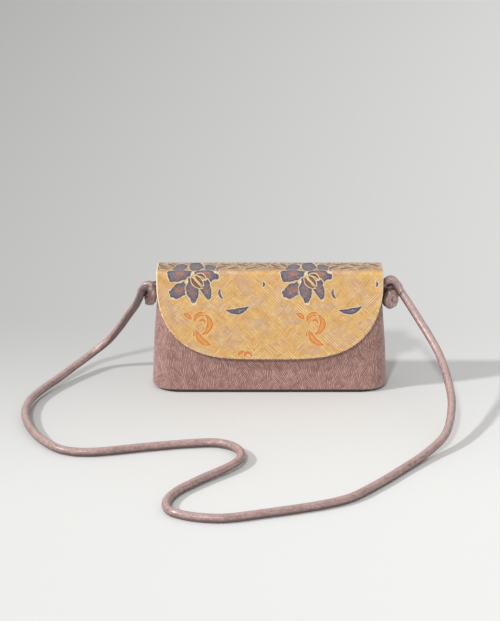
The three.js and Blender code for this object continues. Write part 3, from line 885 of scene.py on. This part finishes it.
def front_of_pouch(z):
    return pouch_size(z)[1] + PANEL_CROWN * crown_at(z)


# Once round the pouch: each column's stretch (corner, face or side), its quarter and how far along it lies.
CORNER_STEPS = 9
FACE_STEPS = 44
SIDE_STEPS = 6


def round_the_pouch():
    columns = []
    for quarter in range(4):
        for step in range(CORNER_STEPS + 1):
            columns.append(("corner", quarter, step / CORNER_STEPS))
        steps = FACE_STEPS if quarter % 2 == 0 else SIDE_STEPS
        for step in range(1, steps):
            columns.append(("face" if quarter % 2 == 0 else "side", quarter, step / steps))
    columns.append(columns[0])
    return columns


ROUND = round_the_pouch()
SIGNS = [(1, 1), (-1, 1), (-1, -1), (1, -1)]


def ring_point(column, z, inset):
    """A column's point at a height, inset from the outside, with the way that is out there."""
    kind, quarter, share = ROUND[column]
    half_width, half_depth = pouch_size(z)
    width = half_width - inset
    depth = half_depth - inset
    radius = min(CORNER_RADIUS, half_depth - 0.5) - inset
    side_x, side_y = SIGNS[quarter]
    if kind == "corner":
        turn = (quarter + share) * math.pi / 2
        x = side_x * (width - radius) + radius * math.cos(turn)
        y = side_y * (depth - radius) + radius * math.sin(turn)
        out = Vector((math.cos(turn), math.sin(turn), 0))
    elif kind == "face":
        x = lerp(side_x, -side_x, share) * (width - radius)
        y = side_y * depth
        out = Vector((0, side_y, 0))
    else:
        x = side_x * width
        y = lerp(side_y, -side_y, share) * (depth - radius)
        out = Vector((side_x, 0, 0))
    across = 1 - (x / half_width) ** 2
    y += PANEL_CROWN * crown_at(z) * across * y / depth
    return Vector((x, y, z)), out


# How far round the pouch each column lies, about half way up.
GIRTH_HEIGHT = 60
GIRTH = run_along(steps_along([ring_point(column, GIRTH_HEIGHT, 0)[0] for column in range(len(ROUND))]))


def slackness(point):
    """How far the soft panel stands out or in, in mm: broad waves, and small puckers by the seams."""
    side = 1 if point.y > 0 else -1
    broad = 0.45 * soft_noise(point.x, point.z * 1.4, 50 * side, 34)
    crease = 0.16 * soft_noise(point.x, point.z * 0.6, 90 * side, 11)
    by_seam = math.exp(-((point.y / 5) ** 2)) * smooth_step(60, 100, abs(point.x))
    pucker = 0.14 * by_seam * soft_noise(0, point.z, side * point.x, 4)
    by_base = math.exp(-((point.z / 7) ** 2))
    gathers = 0.25 * by_base * soft_noise(point.x, point.y, 20, 4.5)
    groove = -0.55 * math.exp(-((point.y / 0.8) ** 2)) * smooth_step(90, 100, abs(point.x))
    from_hole = math.hypot(point.y, point.z - SEAM_HOLE_HEIGHT)
    collar = 0.9 * math.exp(-(((from_hole - 4.6) / 2.2) ** 2)) * smooth_step(90, 100, abs(point.x))
    at_rim = smooth_step(POUCH_HEIGHT, POUCH_HEIGHT - 6, point.z)
    panel = (broad + crease + gathers) * smooth_step(0, 12, point.z + 4) * at_rim
    return panel + pucker + groove * at_rim + collar


def make_shell():
    """The jacquard shell: up the outside, over the turned mouth edge, and down the inside to the base."""
    outside = [2.9, 3.1, 3.5, 4.2, 5.2, 6.6, 8.1]
    outside += [lerp(10, POUCH_HEIGHT - 2.5, i / 45) for i in range(46)]
    half_wall = SHELL_WALL / 2
    rim = []
    for i in range(9):
        turn = math.pi * i / 8
        z = POUCH_HEIGHT - half_wall + half_wall * math.sin(turn)
        rim.append((z, half_wall - half_wall * math.cos(turn)))
    inside = [115, 104, 90, 74, 58, 42, 26, 14, 8, 5, 3.6]
    rows = [(z, 0.0) for z in outside] + rim + [(z, SHELL_WALL) for z in inside]
    rows += [(3.1, 1.5), (2.7, 0.9), (2.65, 0.3), rows[0]]
    run = run_along(math.dist(row, after) for row, after in zip(rows, rows[1:]))

    def place(column, row):
        z, inset = rows[row]
        point, out = ring_point(column, min(z, POUCH_HEIGHT), inset)
        point.z = z
        return point + out * slackness(point)

    def flat(column, row):
        return GIRTH[column], run[row]

    shell = lay_cloth("pouch_shell", len(ROUND) - 1, len(rows) - 1, place, flat)
    finish_piece(shell, "pouch", "mauve_jacquard", jacquard, "shell_front", "shell_back")


def make_base():
    """The base panel, a cloth slab under the shell's lower edge dyed near black as painted shade, and the
    board that keeps it flat.
    """
    side = [(3.2, 2.8), (3, 1.2), (2.5, 0.3), (1.5, 0), (0.8, 0.05), (0.4, 0.35), (0.15, 0.9)]
    shares = [0.99, 0.95, 0.88, 0.78, 0.66, 0.5, 0.32, 0.14, 0]

    def place(column, row):
        if row < len(side):
            z, inset = side[row]
            point, out = ring_point(column, 0, inset - BASE_OUT)
            point.z = z
            return point + out * 0.12 * soft_noise(point.x, point.y, z, 9)
        share = shares[row - len(side)]
        point, _ = ring_point(column, 0, -0.2)
        bow = 0.5 * (1 - smooth_step(0.8, 1, share))
        wave = 0.15 * soft_noise(point.x * share, point.y * share, 3, 14) * (1 - share**6)
        return Vector((point.x * share, point.y * share, 0.08 + bow + wave))

    def flat(column, row):
        point = place(column, row)
        return point.x, point.y - point.z

    rows = len(side) + len(shares)
    base = lay_cloth("base_cloth", len(ROUND) - 1, rows - 1, place, flat, face_out=Vector((0, 0, -1)))
    thicken(base, BASE_CLOTH)
    finish_piece(base, "pouch", "mauve_jacquard", base_painted_shade, "base_panel")
    refinish("base_board", board)


def make_lining():
    """The lining bag inside the shell, with soft creases."""
    floor_z = BOARD_TOP + GAP + 0.1
    inset = SHELL_WALL + GAP
    floor_shares = [0, 0.3, 0.55, 0.75, 0.88, 0.96]
    heights = [lerp(floor_z + 0.05, POUCH_HEIGHT - 0.6, (i / 36) ** 1.25) for i in range(37)]
    rows = [("floor", share) for share in floor_shares] + [("wall", z) for z in heights]

    def place(column, row):
        kind, value = rows[row]
        z = floor_z if kind == "floor" else value
        point, out = ring_point(column, z, inset + 0.1)
        if kind == "floor":
            wave = 0.12 * soft_noise(point.x * value, point.y * value, 8, 12)
            return Vector((point.x * value, point.y * value, floor_z + 0.12 + wave))
        slack = 0.25 * soft_noise(point.x, z, 30 + point.y, 16) - 0.25
        fade = smooth_step(POUCH_HEIGHT, POUCH_HEIGHT - 8, z) * smooth_step(floor_z, floor_z + 4, z)
        return point + out * slack * fade

    def flat(column, row):
        kind, value = rows[row]
        if kind == "floor":
            point = place(column, row)
            return point.x, point.y - 200
        return GIRTH[column], value

    lining = lay_cloth("lining_bag", len(ROUND) - 1, len(rows) - 1, place, flat, face_out=Vector((0, -1, 0)))
    thicken(lining, LINING_CLOTH)
    finish_piece(lining, "pouch", "lining_cloth", lining_cloth, "lining_front", "lining_back")


# Flap: layers over the mouth and down the front plane, which leans back from the snap to the mouth.
PLANE_LOW = -(front_of_pouch(SNAP_HEIGHT) + GAP_AT_SNAP)
PLANE_HIGH = -(front_of_pouch(POUCH_HEIGHT) + GAP_AT_MOUTH)
LEAN = math.atan2(PLANE_HIGH - PLANE_LOW, POUCH_HEIGHT - SNAP_HEIGHT)
FOLD_CENTRE_Y = PLANE_LOW + (FOLD_CENTRE - SNAP_HEIGHT) * math.tan(LEAN) + FOLD_RADIUS / math.cos(LEAN)
FOLD_TURN = math.pi / 2 - LEAN
TOP_RUN = FLAP_ROOT - FOLD_CENTRE_Y
FOLD_RUN = (FOLD_RADIUS + FLAP_THICKNESS) * FOLD_TURN
FOLD_END_Z = FOLD_CENTRE + (FOLD_RADIUS + FLAP_THICKNESS) * math.cos(FOLD_TURN)


def flap_point(x, down, offset):
    """Where the flap's cloth lies: down is how far from its root, offset how far out from its inner face."""
    radius = FOLD_RADIUS + offset
    if down <= TOP_RUN:
        return Vector((x, FLAP_ROOT - down, FOLD_CENTRE + radius))
    turn = min(1, (down - TOP_RUN) / FOLD_RUN) * FOLD_TURN
    below = max(0, down - TOP_RUN - FOLD_RUN)
    y = FOLD_CENTRE_Y - radius * math.sin(turn) - below * math.sin(LEAN)
    return Vector((x, y, FOLD_CENTRE + radius * math.cos(turn) - below * math.cos(LEAN)))


def run_to_height(z):
    return TOP_RUN + FOLD_RUN + (FOLD_END_Z - z) / math.cos(LEAN)


def low_edge(share):
    """How far down the cloth its rounded lower edge lies, at a share of the half width."""
    drop = 1 - math.sqrt(max(0, 1 - min(1, share) ** FLAP_ROUNDNESS))
    return run_to_height(FLAP_LOW_EDGE + FLAP_ROUND_HEIGHT * drop)


def edge_share(down):
    """The share of the half width that the flap has, so far down."""
    z = FOLD_END_Z - (down - TOP_RUN - FOLD_RUN) * math.cos(LEAN)
    drop = (z - FLAP_LOW_EDGE) / FLAP_ROUND_HEIGHT
    return 1 if drop >= 1 else (1 - (1 - max(0, drop)) ** 2) ** (1 / FLAP_ROUNDNESS)


STRAIGHT_RUN = run_to_height(FLAP_LOW_EDGE + FLAP_ROUND_HEIGHT)
ROOT_ROWS = [0, 0.08, 0.3, 0.65, 1.1, 1.65, 1.9, 2.6, 5, 9, 13, 17, 21, 23.5]
FOLD_ROWS = [24.8 + 0.62 * i for i in range(12)]
UPPER_ROWS = ROOT_ROWS + FOLD_ROWS + [33, 35, 38, 41]
CROWDING = 2.2
LOWER_SHARES = [1 - (1 - i / 36) ** CROWDING for i in range(37)]
ROWS_DOWN = len(UPPER_ROWS) + len(LOWER_SHARES)
HALF_COLUMNS = 56


def flap_layer(name, low, high, inset, edge_radius, recess=None):
    """One layer of the flap as a closed sheet, its outer face first and its inner face back to the root."""

    def spot(column, row):
        across = (column - HALF_COLUMNS) / HALF_COLUMNS
        share = math.copysign(1 - (1 - abs(across)) ** CROWDING, across)
        lowest = low_edge(abs(share)) - inset
        outer = row < ROWS_DOWN
        line = row if outer else 2 * ROWS_DOWN - 1 - row
        straight = STRAIGHT_RUN - inset
        if line < len(UPPER_ROWS):
            down = min(straight, inset + UPPER_ROWS[line])
        else:
            down = lerp(straight, lowest, LOWER_SHARES[line - len(UPPER_ROWS)])
        x = share * (FLAP_HALF_WIDTH - inset)
        beside = edge_share(down + inset) * FLAP_HALF_WIDTH - inset - abs(x)
        under = lowest - down
        corner = 0 if beside <= 0 or under <= 0 else beside * under / math.hypot(beside, under)
        from_edge = max(0, min(corner, down - inset))
        return x, down, from_edge, outer

    def place(column, row):
        x, down, from_edge, outer = spot(column, row)
        middle = (low + high) / 2
        half = (high - low) / 2
        short = max(0, 1 - from_edge / edge_radius)
        puff = half * math.sqrt(1 - short * short)
        offset = middle + puff if outer else middle - puff
        if recess is not None and not outer:
            offset = lerp(offset, recess, smooth_step(TURNED_EDGE, TURNED_EDGE + 0.2, from_edge))
        soft = 0.22 * soft_noise(x, down, 5, 26) + 0.1 * soft_noise(x, down, 9, 8)
        roll = 0.3 * math.exp(-((from_edge - 1.5) ** 2)) if outer and recess is not None else 0
        return flap_point(x, down, offset + (soft + roll) * smooth_step(0, 4, down))

    def flat(column, row):
        x, down, _, outer = spot(column, row)
        return (x, down) if outer else (x, down + 6)

    def from_edge(column, row):
        return spot(column, row)[2]

    return lay_cloth(name, 2 * HALF_COLUMNS, 2 * ROWS_DOWN - 1, place, flat, from_edge=from_edge)


def make_flap():
    inner_edge = TURNED_EDGE + GAP
    cloth = flap_layer("flap_cloth", 0, FLAP_THICKNESS, 0, 1.3, recess=BROCADE_UNDERSIDE)
    motifs = ["flower", "flower_heart", "leaf", "crescent", "sprig"]
    woven = [f"{motif}_{side}" for motif in motifs for side in ("left", "right")]
    finish_piece(cloth, "flap", "gold_brocade", brocade, "flap_brocade", "tuft", *woven)
    stiffener = flap_layer("flap_interlining", INTERLINING_LOW, INTERLINING_HIGH, inner_edge, 0.3)
    finish_piece(stiffener, "flap", "stiff_cloth", felt, "flap_stiffener")
    lining = flap_layer("flap_lining_cloth", 0, LINING_CLOTH, inner_edge, 0.4)
    finish_piece(lining, "flap", "lining_cloth", lining_cloth, "flap_lining")
    for node in ("snap_socket", "snap_socket_washer", "snap_stud", "snap_stud_washer"):
        refinish(node, steel)


# Stitches: short lengths of thread, each a stretched ball half sunk in the cloth, and rings at the hinge.
MOUTH_STITCH_DROP = 3.2
MOUTH_STITCH = 2.3
MOUTH_STITCH_PITCH = 3.2
MOUTH_STITCH_REACH = 92
LINING_STITCHES = 150
LONGEST_LINING_STITCH = 4
HINGE_STITCHES = 62
HINGE_STITCH_REACH = 97
HINGE_RING = 1.55
HINGE_THREAD = 0.27
HINGE_LEAN = 0.35


def stitch_row(name, body, slot, thread, stitches, half_thick=0.24):
    """Stitches from a list of pairs of points, in mm."""
    row = bmesh.new()
    for start, end in stitches:
        reach = end - start
        turn = reach.to_track_quat("X", "Z").to_matrix().to_4x4()
        size = Matrix.Diagonal((reach.length / 2 * MM, half_thick * MM, half_thick * MM, 1))
        where = Matrix.Translation((start + end) / 2 * MM) @ turn @ size
        bmesh.ops.create_uvsphere(row, u_segments=8, v_segments=5, radius=1, matrix=where)
    bmesh.ops.recalc_face_normals(row, faces=row.faces)
    piece = to_piece(name, row)
    finish_piece(piece, body, slot, thread)


def make_mouth_stitches():
    """A line of machine stitches just under the mouth, round the shell but for its sides."""
    z = POUCH_HEIGHT - MOUTH_STITCH_DROP
    points = []
    for column in range(len(ROUND)):
        point, out = ring_point(column, z, 0)
        points.append(point + out * (slackness(point) + 0.05))
    stitches = []
    run = 0
    for here, after in zip(points, points[1:]):
        length = (after - here).length
        while run < length:
            if abs(here.x) < MOUTH_STITCH_REACH:
                way = (after - here) / max(length, 1e-6)
                start = here + way * run
                stitches.append((start, start + way * MOUTH_STITCH))
            run += MOUTH_STITCH_PITCH
        run -= length
    stitch_row("mouth_stitches", "pouch", "mauve_jacquard", mauve_thread, stitches)


def make_lining_stitches():
    """Slip stitches that hold the flap's lining to its turned edge."""
    inset = TURNED_EDGE + 0.25
    edge = []
    for step in range(LINING_STITCHES + 1):
        share = math.cos(math.pi * step / LINING_STITCHES)
        if abs(share) <= 0.995:
            edge.append((share * (FLAP_HALF_WIDTH - inset), low_edge(abs(share)) - inset))
    stitches = []
    for (x, down), (next_x, next_down) in zip(edge, edge[1:]):
        start = flap_point(x, down, -0.02)
        end = flap_point(lerp(x, next_x, 0.5) * 0.994, lerp(down, next_down, 0.5) - 0.6, -0.02)
        if (end - start).length < LONGEST_LINING_STITCH:
            stitches.append((start, end))
    stitch_row("lining_stitches", "flap", "lining_cloth", mauve_thread, stitches, half_thick=0.18)


def make_hinge_stitches():
    """Overcast stitches that sew the flap's root to the mouth's back: rings of thread round the hinge."""
    rings = bmesh.new()
    for i in range(HINGE_STITCHES):
        across = lerp(-HINGE_STITCH_REACH, HINGE_STITCH_REACH, i / (HINGE_STITCHES - 1))
        middle = Vector((across, FLAP_ROOT, POUCH_HEIGHT + 0.2)) * MM
        start = Matrix.Translation(middle + Vector((0, HINGE_RING * MM, 0)))
        section = bmesh.ops.create_circle(rings, segments=6, radius=HINGE_THREAD * MM, matrix=start)["verts"]
        edges = list({edge for vert in section for edge in vert.link_edges})
        before = set(rings.verts) - set(section)
        bmesh.ops.spin(
            rings, geom=section + edges, cent=middle, axis=(1, 0, 0), angle=2 * math.pi,
            steps=14, use_merge=True, use_duplicate=False,
        )
        ring = [vert for vert in rings.verts if vert not in before]
        bmesh.ops.rotate(rings, cent=middle, matrix=Matrix.Rotation(HINGE_LEAN, 3, "Z"), verts=ring)
    bmesh.ops.recalc_face_normals(rings, faces=rings.faces)
    finish_piece(to_piece("hinge_stitches", rings), "pouch", "gold_brocade", gold_thread)


make_shell()
make_base()
make_lining()
make_flap()
make_mouth_stitches()
make_lining_stitches()
make_hinge_stitches()


# Floor, backdrop and light. The flat floor is painted greyer from in front of the bag to where a backdrop
# would rise, and a little more to its far end, as painted shade; all in m.
SWEEP_NEAR = -0.3
SWEEP_RISE = 0.22
SWEEP_FAR = 1.95
SWEEP_LEFT = -0.5
SWEEP_RIGHT = 0.45
FLOOR_SIZE = 8
SUNS = [
    ("side_window", 1.65, 4, (-1.25, -0.4, 1)),
    ("front_window", 1.05, 5, (-0.32, -1.13, 1)),
]
ROOM_LIGHT = (0.5, 0.5, 0.5, 1)
ROOM_SEEN = dye(205, 205, 203)


def floor_finish():
    """Plain paper floor: near white in front, with painted shade greying it away to the back and left."""
    paper = Finish("paper_sweep", 0.9, specular=0.1)
    at = paper.node("TexCoord").outputs["Object"]
    parts = paper.node("SeparateXYZ", {0: at})
    # Painted shade: the floor greys towards the back and towards the left.
    near = paper.step(parts.outputs[1], SWEEP_NEAR, SWEEP_RISE)
    far = paper.ramp(parts.outputs[1], SWEEP_RISE, SWEEP_FAR)
    rightwards = paper.ramp(parts.outputs[0], SWEEP_LEFT, SWEEP_RIGHT)
    left = paper.blend(far, paper.blend(near, dye(232, 232, 230), dye(181, 181, 179)), dye(175, 175, 173))
    right = paper.blend(far, paper.blend(near, dye(243, 243, 241), dye(225, 225, 223)), dye(209, 209, 207))
    fibres = paper.cloudy(at, 0.004, detail=3)
    paper.colour(paper.over(paper.blend(rightwards, left, right), fibres, 0.03, dye(255, 255, 255)))
    paper.relief(fibres, 0.05)
    return paper.material


def make_stage():
    ground = bmesh.new()
    bmesh.ops.create_grid(ground, x_segments=8, y_segments=8, size=FLOOR_SIZE)
    floor = to_piece("floor", ground, smooth=False)
    floor.data.materials.append(floor_finish())

    for name, energy, spread, towards in SUNS:
        lamp = bpy.data.lights.new(name, "SUN")
        lamp.energy = energy
        lamp.angle = math.radians(spread)
        light = bpy.data.objects.new(name, lamp)
        light.rotation_euler = Vector(towards).to_track_quat("Z", "Y").to_euler()
        put_in_scene(light)

    world = bpy.data.worlds.new("pale_room")
    world.use_nodes = True
    bpy.context.scene.world = world
    room = Loom(world.node_tree)
    sky = world.node_tree.nodes["Background"]
    sky.inputs["Strength"].default_value = 1
    seen = room.node("LightPath")
    shown = room.math("MAXIMUM", seen.outputs["Is Camera Ray"], seen.outputs["Is Glossy Ray"])
    shown = room.math("MAXIMUM", shown, seen.outputs["Is Transmission Ray"])
    room.feed(sky.inputs["Color"], room.blend(shown, ROOM_LIGHT, ROOM_SEEN))


make_stage()
bpy.context.scene.view_settings.view_transform = "Standard"
